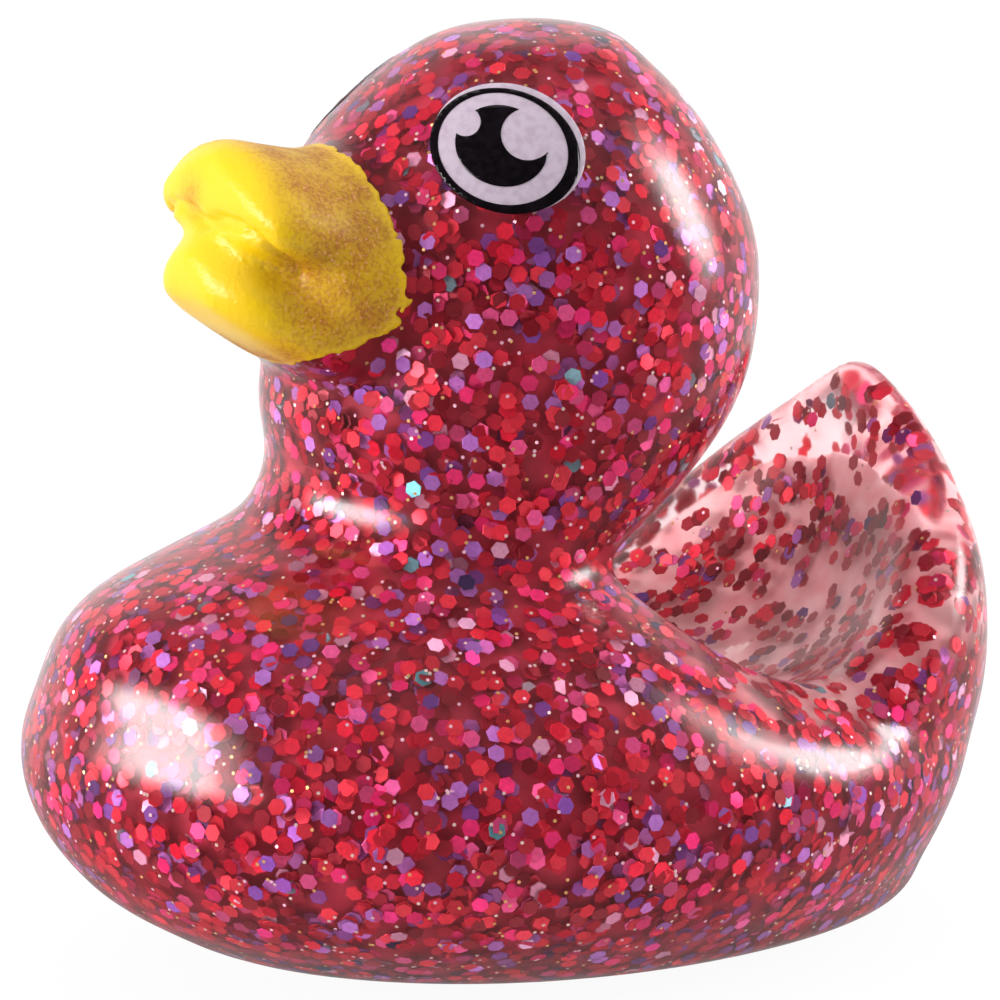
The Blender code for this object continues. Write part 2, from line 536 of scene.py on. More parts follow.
@dataclass(frozen=True)
class Foil(Finish):
    """Coloured foil of the cut glitter, whose colour each flake carries."""

    metallic: float = 0.4
    dulled: Colour = (0.82, 0.8, 0.82)
    roughness: tuple[float, float] = (0.2, 0.45)
    mark_size: float = 0.25 * MM
    mark_levels: tuple[float, float] = (0.3, 0.7)

    def build(self) -> bpy.types.Material:
        """Builds the foil, with fine rolling marks and a gloss of its own for each flake."""
        material, shop, shader = self.start()
        tint = shop.add("ShaderNodeAttribute", attribute_name="tint")
        gloss = shop.add("ShaderNodeAttribute", attribute_name="gloss")
        marks = self.speckle(shop, self.mark_size, *self.mark_levels)
        dull = shop.add("ShaderNodeMix", data_type="RGBA", blend_type="MULTIPLY")
        base, over = MIX_COLOURS
        dull.inputs[over].default_value = (*self.dulled, 1.0)
        shop.link(marks.outputs["Mask"], dull.inputs["Factor"])
        shop.link(tint.outputs["Color"], dull.inputs[base])
        shop.link(dull.outputs[MIX_COLOUR_OUT], shader.inputs["Base Color"])
        shader.inputs["Metallic"].default_value = self.metallic
        self.roughen(shop, gloss.outputs["Fac"], self.roughness, shader)
        return material


@dataclass(frozen=True)
class SprayedYellow(Finish):
    """The bill's sprayed paint: clean yellow on the lips, ochre with an orange grain behind them, where the
    ochre is partly thin spray and partly painted shade of the sides and the root.
    """

    bright: Colour = linear(226, 186, 10)
    # The ochre stands partly for thin spray and partly for painted shade on the bill's sides and root.
    ochre: Colour = linear(184, 132, 8)
    brown: Colour = linear(152, 76, 22)
    peach: Colour = linear(236, 160, 120)
    roughness: tuple[float, float] = (0.34, 0.55)
    specular: float = 0.35
    patch_size: float = 2.2 * MM
    patchiness: float = 0.45
    grain_size: float = 0.26 * MM
    grain_depth: float = 0.03 * MM
    brown_share: float = 0.55
    spot_size: float = 0.2 * MM
    peach_share: float = 0.5

    def build(self) -> bpy.types.Material:
        """Builds the paint, which reads from the coat's own attribute where the spray was thin and where
        painted shade darkens it to ochre.
        """
        material, shop, shader = self.start()
        thin_and_shaded = shop.add("ShaderNodeAttribute", attribute_name="thin_and_shaded")
        patches = self.speckle(shop, self.patch_size, 0.35, 0.65)
        grains = self.speckle(shop, self.grain_size, 0.46, 0.6)
        spots = self.speckle(shop, self.spot_size, 0.6, 0.68)
        # Painted shade: the coat's attribute turns the sides and the root ochre, partly for thin spray and
        # partly for the shade they lie in; the patches make it uneven.
        thin_and_shaded_mix = shop.math("MULTIPLY", patches.outputs["Mask"], self.patchiness)
        thin_and_shaded_mix = shop.math("ADD", thin_and_shaded_mix, 1 - self.patchiness)
        thin_and_shaded_mix = shop.math("MULTIPLY", thin_and_shaded_mix, thin_and_shaded.outputs["Fac"])
        base = shop.mix(self.bright, self.ochre, thin_and_shaded_mix)
        grainy = shop.math("MULTIPLY", grains.outputs["Mask"], thin_and_shaded_mix)
        base = shop.mix(base, self.brown, shop.math("MULTIPLY", grainy, self.brown_share))
        fleck = shop.math("MULTIPLY", spots.outputs["Mask"], thin_and_shaded_mix)
        base = shop.mix(base, self.peach, shop.math("MULTIPLY", fleck, self.peach_share))
        shop.link(base, shader.inputs["Base Color"])
        shader.inputs["Specular IOR Level"].default_value = self.specular
        self.roughen(shop, thin_and_shaded_mix, self.roughness, shader)
        self.bump(shop, grains.outputs["Height"], self.grain_depth, shader)
        return material


@dataclass(frozen=True)
class PrintInk(Finish):
    """Pad-printed ink of the eyes."""

    colour: Colour = (0.5, 0.5, 0.5)
    fleck: Colour = (0.5, 0.5, 0.5)
    roughness: float = 0.3
    specular: float = 0.25
    film_size: float = 0.5 * MM
    film_levels: tuple[float, float] = (0.4, 0.7)
    film_depth: float = 0.006 * MM

    def build(self) -> bpy.types.Material:
        """Builds the ink, with the faint unevenness of a printed layer."""
        material, shop, shader = self.start()
        film = self.speckle(shop, self.film_size, *self.film_levels)
        shade = shop.mix(self.colour, self.fleck, film.outputs["Mask"])
        shop.link(shade, shader.inputs["Base Color"])
        shader.inputs["Roughness"].default_value = self.roughness
        shader.inputs["Specular IOR Level"].default_value = self.specular
        self.bump(shop, film.outputs["Height"], self.film_depth, shader)
        return material


@dataclass
class MouldedShell:
    """The hollow moulding itself: one closed wall, clear outside and cloudy on its inner face."""

    weld: float = 0.0005 * MM
    voxel: float = 0.42 * MM
    softness: float = 0.5
    rounds: int = 5
    body_rounds: int = 3
    crease_depth: float = 0.5 * MM
    crease_width: float = 0.42 * MM
    ridge_lift: float = 0.16 * MM
    ridge_width: float = 0.6 * MM
    vent: Vector = Vector((0.0, 15.6 * MM, 0.0))
    vent_reach: float = 1.9 * MM
    skin: float = 0.8 * MM

    def build(self) -> bpy.types.Object:
        """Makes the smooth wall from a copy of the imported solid.

        Returns:
            The wall, with its clear and cloudy faces told apart.
        """
        wall = duplicate(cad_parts[NODE], "shell_wall")
        self._merge(wall)
        self.outside = self._outer_tree(wall)
        apply_modifier(wall, "SUBSURF", levels=1, render_levels=1)
        apply_modifier(wall, "REMESH", mode="VOXEL", voxel_size=self.voxel)
        apply_modifier(wall, "SMOOTH", factor=self.softness, iterations=self.rounds)
        group = wall.vertex_groups.new(name="body")
        places = vertex_data(wall.data)
        off_bill = np.flatnonzero((places[:, 1] > BILL_ROOT) | (places[:, 2] < BILL_FOOT))
        group.add(off_bill.tolist(), 1.0, "REPLACE")
        apply_modifier(wall, "SMOOTH", factor=self.softness, iterations=self.body_rounds,
                       vertex_group=group.name)
        self._score_lips(wall)
        wall.data.polygons.foreach_set("use_smooth", np.ones(len(wall.data.polygons), bool))
        self.is_outer = self._outer_faces(wall)
        self._dress(wall)
        self.wall = wall
        return wall

    def _score_lips(self, wall: bpy.types.Object) -> None:
        """Sharpens the crease between the lips, and the ridge that edges the upper one."""
        places = vertex_data(wall.data)
        normals = np.empty(len(places) * 3)
        wall.data.vertices.foreach_get("normal", normals)
        crease = np.exp(-((off_line(places, LIP_CREASE) / self.crease_width) ** 2))
        ridge = np.exp(-((off_line(places, LIP_RIDGE) / self.ridge_width) ** 2))
        rise = self.ridge_lift * ridge - self.crease_depth * crease
        wall.data.vertices.foreach_set("co", (places + normals.reshape(-1, 3) * rise[:, None]).ravel())
        wall.data.update()

    def _merge(self, wall: bpy.types.Object) -> None:
        """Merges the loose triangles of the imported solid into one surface."""
        activate(wall)
        bpy.ops.object.mode_set(mode="EDIT")
        bpy.ops.mesh.select_all(action="SELECT")
        bpy.ops.mesh.remove_doubles(threshold=self.weld)
        bpy.ops.mesh.customdata_custom_splitnormals_clear()
        bpy.ops.object.mode_set(mode="OBJECT")

    def _outer_tree(self, wall: bpy.types.Object) -> BVHTree:
        """Finds the outer surface by walking from the crown of the head, stopping at the vent.

        Args:
            wall: The merged wall.

        Returns:
            A search tree of the outer faces.
        """
        bm = bmesh.new()
        bm.from_mesh(wall.data)
        bm.verts.ensure_lookup_table()
        edge_of_walk = [max(bm.faces, key=lambda face: face.calc_center_median().z)]
        seen = set(edge_of_walk)
        while edge_of_walk:
            face = edge_of_walk.pop()
            for edge in face.edges:
                for other in edge.link_faces:
                    offset = other.calc_center_median() - self.vent
                    if other in seen or offset.xy.length < self.vent_reach:
                        continue
                    seen.add(other)
                    edge_of_walk.append(other)
        places = [vertex.co.copy() for vertex in bm.verts]
        faces = [[vertex.index for vertex in face.verts] for face in seen]
        bm.free()
        return BVHTree.FromPolygons(places, faces)

    def _outer_faces(self, wall: bpy.types.Object) -> np.ndarray:
        """Tells which faces of the finished wall lie on its outside."""
        centres, _, _ = face_data(wall.data)
        near = [self.outside.find_nearest(Vector(centre))[3] for centre in centres]
        return np.array(near) < self.skin

    def _dress(self, wall: bpy.types.Object) -> None:
        """Gives the wall its two finishes and marks where the inner face is painted pale, for light through
        the thin plastic.
        """
        set_attribute(wall.data, "through_glow", dish_share(vertex_data(wall.data)))
        wall.data.materials.clear()
        wall.data.materials.append(ClearWall("clear_wall").build())
        wall.data.materials.append(MilkyWall("milky_wall").build())
        wall.data.polygons.foreach_set("material_index", np.where(self.is_outer, 0, 1).astype(np.int32))
        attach(wall, "root")
        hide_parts(NODE)


class Batch(Enum):
    """The piece that a colour of glitter goes into."""

    REDS = "glitter_reds"
    CORALS = "glitter_corals"
    PINKS = "glitter_pinks"
    VIOLETS = "glitter_violets"


class Hue(Enum):
    """A colour of glitter: its shade, its share in the body, its share in the scoop, and its piece."""

    CRIMSON = (linear(212, 18, 52), 0.27, 0.46, Batch.REDS)
    DEEP_RED = (linear(142, 5, 30), 0.17, 0.30, Batch.REDS)
    CORAL = (linear(234, 50, 70), 0.17, 0.08, Batch.CORALS)
    HOT_PINK = (linear(232, 38, 118), 0.13, 0.06, Batch.PINKS)
    ROSE = (linear(236, 90, 154), 0.08, 0.03, Batch.PINKS)
    SHELL = (linear(248, 190, 224), 0.03, 0.01, Batch.PINKS)
    LILAC = (linear(178, 122, 212), 0.09, 0.03, Batch.VIOLETS)
    VIOLET = (linear(118, 72, 164), 0.06, 0.05, Batch.VIOLETS)
    TEAL = (linear(92, 186, 196), 0.006, 0.004, Batch.VIOLETS)
    NAVY = (linear(36, 40, 92), 0.01, 0.01, Batch.VIOLETS)


DUST_SHADES = (linear(238, 226, 214), linear(250, 214, 232), linear(226, 190, 120))


@dataclass
class Glitter:
    """The cut hexagons and fine dust that fill the clear wall."""

    shell: MouldedShell
    count: int = 16000
    across_flats: float = 0.93 * MM
    thickness: float = 0.05 * MM
    taper: float = 0.94
    shallow: float = 0.3 * MM
    deep: float = 1.5 * MM
    depth_bias: float = 0.8
    tilt: float = 10.0
    most_tilt: float = 24.0
    tone_spread: float = 0.28
    # Painted shade: the dark red that deeper flakes are mixed towards, and its share at the greatest depth.
    depth_shade: Colour = linear(186, 32, 64)
    depth_shade_share: float = 0.45
    dust_count: int = 3600
    dust_across: float = 0.2 * MM
    dust_shallow: float = 0.1 * MM
    dust_deep: float = 0.3 * MM
    scoop_thinning: float = 0.1
    tip_thinning: float = 0.75
    tip_rise: tuple[float, float] = (23 * MM, 28 * MM)
    clump_size: float = 2.4 * MM
    clump_levels: tuple[float, float] = (-0.05, 0.3)
    seed: int = 11

    def build(self, clear_of: Callable[[np.ndarray], np.ndarray]) -> list[bpy.types.Object]:
        """Scatters the glitter through the wall.

        Args:
            clear_of: Tells which places the glitter keeps out of, as under the bill's paint.

        Returns:
            One piece for each batch of colours, and the dust.
        """
        self.dice = np.random.default_rng(self.seed)
        foil = Foil("foil").build()
        hexagon = self._template("flake", self.across_flats, self.thickness)
        dot = self._template("dot", self.dust_across, self.thickness)
        places, normals, depth = self._scatter(self.count, self.shallow, self.deep, clear_of)
        hues = self._hues(places)
        tints = self._tints(hues, depth)
        turns = self._turns(normals)
        pieces = []
        for batch in Batch:
            chosen = np.array([hue.value[3] is batch for hue in hues])
            piece = self._piece(
                batch.value, hexagon, places[chosen], turns[chosen], tints[chosen], foil
            )
            pieces.append(piece)
        places, normals, _ = self._scatter(self.dust_count, self.dust_shallow, self.dust_deep, clear_of)
        shades = np.array(DUST_SHADES)
        tints = shades[self.dice.integers(0, len(shades), len(places))]
        pieces.append(self._piece("glitter_dust", dot, places, self._turns(normals), tints, foil))
        return pieces

    def _template(self, name: str, across: float, thickness: float) -> bpy.types.Object:
        """Models one hexagonal flake, lying flat at the origin.

        Args:
            name: The template's name.
            across: Its size across flats.
            thickness: Its thickness.

        Returns:
            The flake, which is copied and then removed.
        """
        bpy.ops.object.select_all(action="DESELECT")
        bpy.ops.mesh.primitive_cylinder_add(
            vertices=6, radius=across / math.sqrt(3), depth=thickness, end_fill_type="NGON"
        )
        flake = bpy.context.active_object
        flake.name = name
        top = [polygon.index for polygon in flake.data.polygons if polygon.normal.z > 0.5]
        bpy.ops.object.mode_set(mode="EDIT")
        bpy.ops.mesh.select_mode(type="FACE")
        bpy.ops.mesh.select_all(action="DESELECT")
        bpy.ops.object.mode_set(mode="OBJECT")
        flake.data.polygons[top[0]].select = True
        bpy.ops.object.mode_set(mode="EDIT")
        bpy.ops.transform.resize(value=(self.taper, self.taper, 1.0))
        bpy.ops.object.mode_set(mode="OBJECT")
        return flake

    def _scatter(
        self, count: int, shallow: float, deep: float, clear_of: Callable[[np.ndarray], np.ndarray]
    ) -> tuple[np.ndarray, np.ndarray, np.ndarray]:
        """Picks places inside the wall, evenly over its outside but sparse and clumped in the scoop.

        Args:
            count: How many to pick for the whole wall.
            shallow: The least depth under the outside.
            deep: The greatest depth.
            clear_of: Tells which places to leave out.

        Returns:
            The places, the wall's normals there and the depths as shares.
        """
        centres, normals, areas = face_data(self.shell.wall.data)
        scoop = dish_share(centres)
        tip = self.tip_thinning * ramp(centres[:, 2], *self.tip_rise)
        even = np.maximum(self.scoop_thinning, tip)
        sparse = even + (1 - even) * self._clumps(centres, scoop > 0)
        weights = areas * self.shell.is_outer * (1 - scoop * sparse)
        picked = self.dice.choice(len(centres), count, p=weights / weights.sum())
        jitter = self.dice.uniform(-0.5, 0.5, (count, 3)) * self.shell.voxel
        share = self.dice.uniform(0.0, 1.0, count) ** self.depth_bias
        depth = shallow + share * (deep - shallow)
        off_surface = (jitter * normals[picked]).sum(axis=1)
        places = centres[picked] + jitter - normals[picked] * off_surface[:, None]
        places = places - normals[picked] * depth[:, None]
        kept = ~clear_of(places)
        return places[kept], normals[picked][kept], share[kept]

    def _clumps(self, centres: np.ndarray, chosen: np.ndarray) -> np.ndarray:
        """Marks bare gaps between the clumps of flakes.

        Args:
            centres: Places on the wall.
            chosen: The places where flakes clump.

        Returns:
            1 in a gap, 0 in a clump and wherever flakes lie evenly.
        """
        gaps = np.zeros(len(centres))
        gaps[chosen] = ramp(grain(centres[chosen], self.clump_size), *self.clump_levels)
        return gaps

    def _hues(self, places: np.ndarray) -> list[Hue]:
        """Draws a colour for each place, darker reds in the scoop."""
        hues = list(Hue)
        body = np.array([hue.value[1] for hue in hues])
        scoop = np.array([hue.value[2] for hue in hues])
        share = dish_share(places)[:, None]
        odds = body / body.sum() * (1 - share) + scoop / scoop.sum() * share
        draws = self.dice.uniform(0.0, 1.0, (len(places), 1))
        return [hues[i] for i in (np.cumsum(odds, axis=1) < draws).sum(axis=1).clip(0, len(hues) - 1)]

    def _tints(self, hues: list[Hue], depth: np.ndarray) -> np.ndarray:
        """Varies each flake's colour, and mixes it towards a dark red with its depth: painted shade of the
        pink plastic over it.

        Args:
            hues: The colour of each flake.
            depth: The depth of each flake, from 0 to 1.

        Returns:
            Rows of linear colours.
        """
        base = np.array([hue.value[0] for hue in hues])
        tone = np.exp(self.dice.normal(0.0, self.tone_spread, (len(base), 1)))
        # Painted shade: deeper flakes are mixed towards a dark red, for the pink plastic that the light
        # crosses over them.
        share = (self.depth_shade_share * depth)[:, None]
        return np.clip(base * tone * (1 - share) + np.array(self.depth_shade) * share, 0.0, 1.0)

    def _turns(self, normals: np.ndarray) -> np.ndarray:
        """Turns each flake to lie nearly along the wall, with a tilt and a spin of its own.

        Args:
            normals: The wall's normals.

        Returns:
            One 3 by 3 matrix for each flake.
        """
        count = len(normals)
        lean = self.dice.normal(0.0, self.tilt, (count, 2))
        lean = np.radians(np.clip(lean, -self.most_tilt, self.most_tilt))
        helper = np.where(np.abs(normals[:, 2:]) < 0.9, [[0.0, 0.0, 1.0]], [[1.0, 0.0, 0.0]])
        along = np.cross(helper, normals)
        along /= np.linalg.norm(along, axis=1)[:, None]
        across = np.cross(normals, along)
        up = normals + np.tan(lean[:, :1]) * along + np.tan(lean[:, 1:]) * across
        up /= np.linalg.norm(up, axis=1)[:, None]
        spin = self.dice.uniform(0.0, 2 * math.pi, (count, 1))
        first = np.cos(spin) * along + np.sin(spin) * across
        first -= up * (first * up).sum(axis=1)[:, None]
        first /= np.linalg.norm(first, axis=1)[:, None]
        return np.stack([first, np.cross(up, first), up], axis=2)

    def _piece(self, name: str, template: bpy.types.Object, places: np.ndarray, turns: np.ndarray,
               tints: np.ndarray, foil: bpy.types.Material) -> bpy.types.Object:
        """Copies one flake to all its places, as a single mesh.

        Args:
            name: The piece's name.
            template: The flake to copy.
            places: Where the copies go.
            turns: How each copy is turned.
            tints: The colour of each copy.
            foil: The finish.

        Returns:
            The piece.
        """
        corners = vertex_data(template.data)
        rings = [list(polygon.vertices) for polygon in template.data.polygons]
        points = np.einsum("nij,kj->nki", turns, corners) + places[:, None, :]
        each = len(corners)
        faces = [[v + i * each for v in ring] for i in range(len(places)) for ring in rings]
        mesh = bpy.data.meshes.new(name)
        mesh.from_pydata(points.reshape(-1, 3), [], faces)
        piece = bpy.data.objects.new(name, mesh)
        bpy.context.scene.collection.objects.link(piece)
        colours = np.repeat(np.column_stack([tints, np.ones(len(tints))]), each, axis=0)
        attribute = mesh.color_attributes.new("tint", "FLOAT_COLOR", "POINT")
        attribute.data.foreach_set("color", colours.astype(np.float32).ravel())
        set_attribute(mesh, "gloss", np.repeat(self.dice.uniform(0.0, 1.0, len(places)), each))
        mesh.materials.append(foil)
        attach(piece, "root")
        return piece


@dataclass
class BillCoat:
    """The paint sprayed over the moulded bill through a mask, with its ragged edge."""

    shell: MouldedShell
    middle: float = 41.1 * MM
    half_width: float = 8.65 * MM
    rise: float = 7.45 * MM
    drop: float = 4.2 * MM
    front: float = -5.0 * MM
    root: float = -11.9 * MM
    spread_above: float = 0.08
    spread_below: float = 0.015
    spread_reach: tuple[float, float] = (-4.0, 8.0)
    far_off: float = 10.0
    well_under: float = 0.9
    margin: float = 1.25
    coarse_tear: tuple[float, float] = (0.035, 0.8 * MM)
    fine_tear: tuple[float, float] = (0.018, 0.4 * MM)
    film: float = 0.08 * MM
    snap_rounds: int = 3
    snap_step: float = 0.02 * MM
    reach_of_snap: float = 0.15 * MM
    # The painted shade and the thin spray behind the lips: where they start along Y, and the share they keep
    # near the rim.
    thin_and_shaded_from: tuple[float, float] = (-19.5 * MM, -16.5 * MM)
    rim_fade: tuple[float, float] = (0.93, 0.99)
    rim_ochre_share: float = 0.3
    patch_reach: float = 1.2 * MM
    patch_thinning: float = 0.7

    def edge(self, places: np.ndarray) -> np.ndarray:
        """Places points against the mask's plain outline, which takes in all of the bill.

        Args:
            places: The points.

        Returns:
            Under 1 inside the outline, 1 on it and more outside it.
        """
        across = places[:, 0] / self.half_width
        lift = places[:, 2] - self.middle
        height = np.where(lift > 0, lift / self.rise, lift / self.drop)
        rate = np.where(lift > 0, self.spread_above, self.spread_below)
        spread = 1 + rate * np.clip((self.root - places[:, 1]) / MM, *self.spread_reach)
        return np.sqrt(across**2 + height**2) / spread + self.far_off * (places[:, 1] > self.front)

    def covers(self, places: np.ndarray) -> np.ndarray:
        """Tells which places in the wall lie well under the paint."""
        return self.edge(places) < self.well_under

    def build(self) -> bpy.types.Object:
        """Makes the film of paint from the outer faces of the bill.

        Returns:
            The coat, a closed film that follows the moulding.
        """
        coat = duplicate(self.shell.wall, "bill_coat")
        centres, _, _ = face_data(coat.data)
        delete_faces(coat, ~self.shell.is_outer | (self.edge(centres) > self.margin))
        activate(coat)
        bpy.ops.object.mode_set(mode="EDIT")
        bpy.ops.mesh.select_all(action="SELECT")
        bpy.ops.mesh.subdivide(number_cuts=2, smoothness=0.0)
        bpy.ops.object.mode_set(mode="OBJECT")
        centres, _, _ = face_data(coat.data)
        delete_faces(coat, self._ragged(centres) > 1.0)
        coat = self._largest(coat)
        self._snap_edge(coat)
        self._mark_thin_and_shaded(coat)
        apply_modifier(coat, "SOLIDIFY", thickness=self.film, offset=0.6, use_even_offset=False)
        coat.data.materials.clear()
        coat.data.materials.append(SprayedYellow("sprayed_yellow").build())
        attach(coat, "root")
        return coat

    def _ragged(self, places: np.ndarray) -> np.ndarray:
        """Adds the torn look of the mask's edge to its plain outline."""
        torn = self.edge(places)
        for share, size in (self.coarse_tear, self.fine_tear):
            torn = torn + share * grain(places, size)
        return torn

    def _largest(self, coat: bpy.types.Object) -> bpy.types.Object:
        """Keeps the one large patch of paint and drops loose specks round it."""
        activate(coat)
        bpy.ops.object.mode_set(mode="EDIT")
        bpy.ops.mesh.select_all(action="SELECT")
        bpy.ops.mesh.separate(type="LOOSE")
        bpy.ops.object.mode_set(mode="OBJECT")
        patches = sorted(bpy.context.selected_objects, key=lambda patch: len(patch.data.polygons))
        largest = patches.pop()
        for speck in patches:
            bpy.data.objects.remove(speck)
        largest.name = "bill_coat"
        return largest

    def _snap_edge(self, coat: bpy.types.Object) -> None:
        """Moves the rim of the paint from the mesh's own steps onto the mask's torn outline."""
        bm = bmesh.new()
        bm.from_mesh(coat.data)
        rim = [vertex for vertex in bm.verts if vertex.is_boundary]
        step = self.snap_step
        for _ in range(self.snap_rounds):
            places = np.array([vertex.co for vertex in rim])
            value = self._ragged(places)
            slope = np.column_stack([
                (self._ragged(places + np.eye(3)[axis] * step) - value) / step for axis in range(3)
            ])
            normals = np.array([vertex.normal for vertex in rim])
            slope -= normals * (slope * normals).sum(axis=1)[:, None]
            move = slope * ((1.0 - value) / np.maximum((slope**2).sum(axis=1), 1.0))[:, None]
            length = np.linalg.norm(move, axis=1)
            move *= np.minimum(1.0, self.reach_of_snap / np.maximum(length, self.film / 1000))[:, None]
            for vertex, shift in zip(rim, move):
                vertex.co += Vector(shift)
        bm.to_mesh(coat.data)
        bm.free()

    def _mark_thin_and_shaded(self, coat: bpy.types.Object) -> None:
        """Marks where the paint turns ochre: the sides and the root, partly for thin spray and partly for
        painted shade, and a patch on the upper lip, not the rim.
        """
        places = vertex_data(coat.data)
        # Painted shade: behind the lips the sides and the root turn ochre, partly for thin spray and partly
        # for the shade they lie in.
        behind = ramp(places[:, 1], *self.thin_and_shaded_from)
        inside = 1 - ramp(self.edge(places), *self.rim_fade)
        patch = np.exp(-((np.linalg.norm(places - UPPER_LIP_PATCH, axis=1) / self.patch_reach) ** 2))
        thin_and_shaded_mix = behind * (self.rim_ochre_share + (1 - self.rim_ochre_share) * inside)
        set_attribute(coat.data, "thin_and_shaded", np.maximum(thin_and_shaded_mix, self.patch_thinning * patch))


@dataclass
class Outline:
    """An ellipse of the print, in the plane that faces the print's direction."""

    centre: tuple[float, float]
    half: tuple[float, float]
    turn: float = -20.7


@dataclass
class EyePrint:
    """A pad-printed eye: a white disc, a black ring and a pupil with two round glints left white."""

    shell: MouldedShell
    azimuth: float = 60.0
    elevation: float = 13.0
    across: float = -0.05 * MM
    height: float = 45.7 * MM
    film: float = 0.02 * MM
    white_lift: float = 0.02 * MM
    black_lift: float = 0.055 * MM
    stand_off: float = 60 * MM
    sheet: float = 11 * MM
    sheet_steps: int = 48
    cutter_depth: float = 6 * MM
    cutter_steps: int = 128

    def build(self) -> list[bpy.types.Object]:
        """Prints the near eye and mirrors it to the other side.

        Returns:
            The six films.
        """
        white = PrintInk("eye_white_ink", linear(184, 168, 182), linear(172, 154, 170), 0.35).build()
        black = PrintInk("eye_black_ink", linear(8, 4, 7), linear(18, 12, 18), 0.16).build()
        base = Outline((0.03, 0.06), (4.46, 3.68))
        ring = Outline((-0.17, -0.14), (4.35, 3.56))
        hole = Outline((-0.28, -0.03), (3.76, 3.19))
        pupil = Outline((-0.36, 0.13), (2.67, 2.33))
        small = Outline((-2.39, 1.53), (0.85, 0.85))
        large = Outline((1.14, 0.80), (1.53, 1.53))
        pieces = []
        plans = (
            ("eye_white", base, (), self.white_lift, white, "eye_white"),
            ("eye_ring", ring, (hole,), self.black_lift, black, "eye_black"),
            ("eye_pupil", pupil, (small, large), self.black_lift, black, "eye_black"),
        )
        for name, outline, holes, lift, ink, slot in plans:
            film = self._film(f"{name}_left", outline, holes, lift)
            film.data.materials.clear()
            film.data.materials.append(ink)
            twin = duplicate(film, f"{name}_right")
            twin.data.transform(Matrix.Scale(-1, 4, Vector((1, 0, 0))))
            outward(twin)
            for piece in (film, twin):
                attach(piece, "root")
                pieces.append(piece)
        return pieces

    def _plane(self) -> Matrix:
        """The plane of the print, outside the head, with Z towards the one who prints."""
        right, up, back = axes_towards(self.azimuth, self.elevation)
        place = right * self.across + up * self.height + back * self.stand_off
        rows = Matrix((right, up, back)).transposed().to_4x4()
        return Matrix.Translation(place) @ rows

    def _prism(self, outline: Outline, depth: float) -> bpy.types.Object:
        """Makes a cutter with the outline's shape, in the print's own plane."""
        bpy.ops.object.select_all(action="DESELECT")
        bpy.ops.mesh.primitive_cylinder_add(vertices=self.cutter_steps, radius=1.0, depth=depth)
        prism = bpy.context.active_object
        shape = Matrix.Diagonal((outline.half[0] * MM, outline.half[1] * MM, 1.0, 1.0))
        turn = Matrix.Rotation(math.radians(outline.turn), 4, "Z")
        shift = Matrix.Translation((outline.centre[0] * MM, outline.centre[1] * MM, 0.0))
        prism.data.transform(shift @ turn @ shape)
        return prism

    def _film(self, name: str, outline: Outline, holes: tuple[Outline, ...],
              lift: float) -> bpy.types.Object:
        """Cuts one printed shape from a fine sheet and lays it on the head.

        Args:
            name: The film's name.
            outline: Its outer shape.
            holes: The shapes left out of it.
            lift: How far it stands off the wall.

        Returns:
            The closed film.
        """
        bpy.ops.object.select_all(action="DESELECT")
        bpy.ops.mesh.primitive_grid_add(
            x_subdivisions=self.sheet_steps, y_subdivisions=self.sheet_steps, size=self.sheet
        )
        film = bpy.context.active_object
        film.name = name
        film.data.name = name
        apply_modifier(film, "SOLIDIFY", thickness=1 * MM, offset=-1.0)
        for cutter, operation in [(outline, "INTERSECT")] + [(hole, "DIFFERENCE") for hole in holes]:
            prism = self._prism(cutter, self.cutter_depth)
            apply_modifier(film, "BOOLEAN", operation=operation, solver="EXACT", object=prism)
            bpy.data.objects.remove(prism)
        _, normals, _ = face_data(film.data)
        delete_faces(film, normals[:, 2] < 0.5)
        film.data.transform(self._plane())
        self._lay(film, lift)
        apply_modifier(film, "SOLIDIFY", thickness=self.film, offset=1.0, use_even_offset=False)
        outward(film)
        film.data.polygons.foreach_set("use_smooth", np.ones(len(film.data.polygons), bool))
        return film

    def _lay(self, film: bpy.types.Object, lift: float) -> None:
        """Presses a flat sheet onto the head along the print's direction.

        Args:
            film: The sheet, in its place in front of the head.
            lift: How far it stands off the wall.
        """
        back = self._plane().col[2].xyz
        tree = BVHTree.FromObject(self.shell.wall, bpy.context.evaluated_depsgraph_get())
        for vertex in film.data.vertices:
            place, normal, _, _ = tree.ray_cast(vertex.co, -back)
            vertex.co = place + normal * lift
        film.data.update()


@dataclass
class SoftBox:
    """A soft box: its side as shares of right, up and back, its size, its power and its roll in degrees."""

    name: str
    side: tuple[float, float, float]
    size: tuple[float, float]
    power: float
    roll: float = 0.0


SOFT_BOXES = (
    SoftBox("left", (-0.90, 0.19, 0.36), (0.36, 0.12), 2.1, 10.0),
    SoftBox("right", (0.92, 0.38, -0.10), (0.14, 0.26), 1.5),
)

# The layers of a soft box: the size and the power of each, as shares of the box's.
FEATHERING = ((1.6, 0.16), (1.25, 0.3), (0.85, 0.4))


@dataclass(frozen=True)
class Fade:
    """A level that runs smoothly between two limits: the limits, then the level at each."""

    limits: tuple[float, float]
    levels: tuple[float, float]


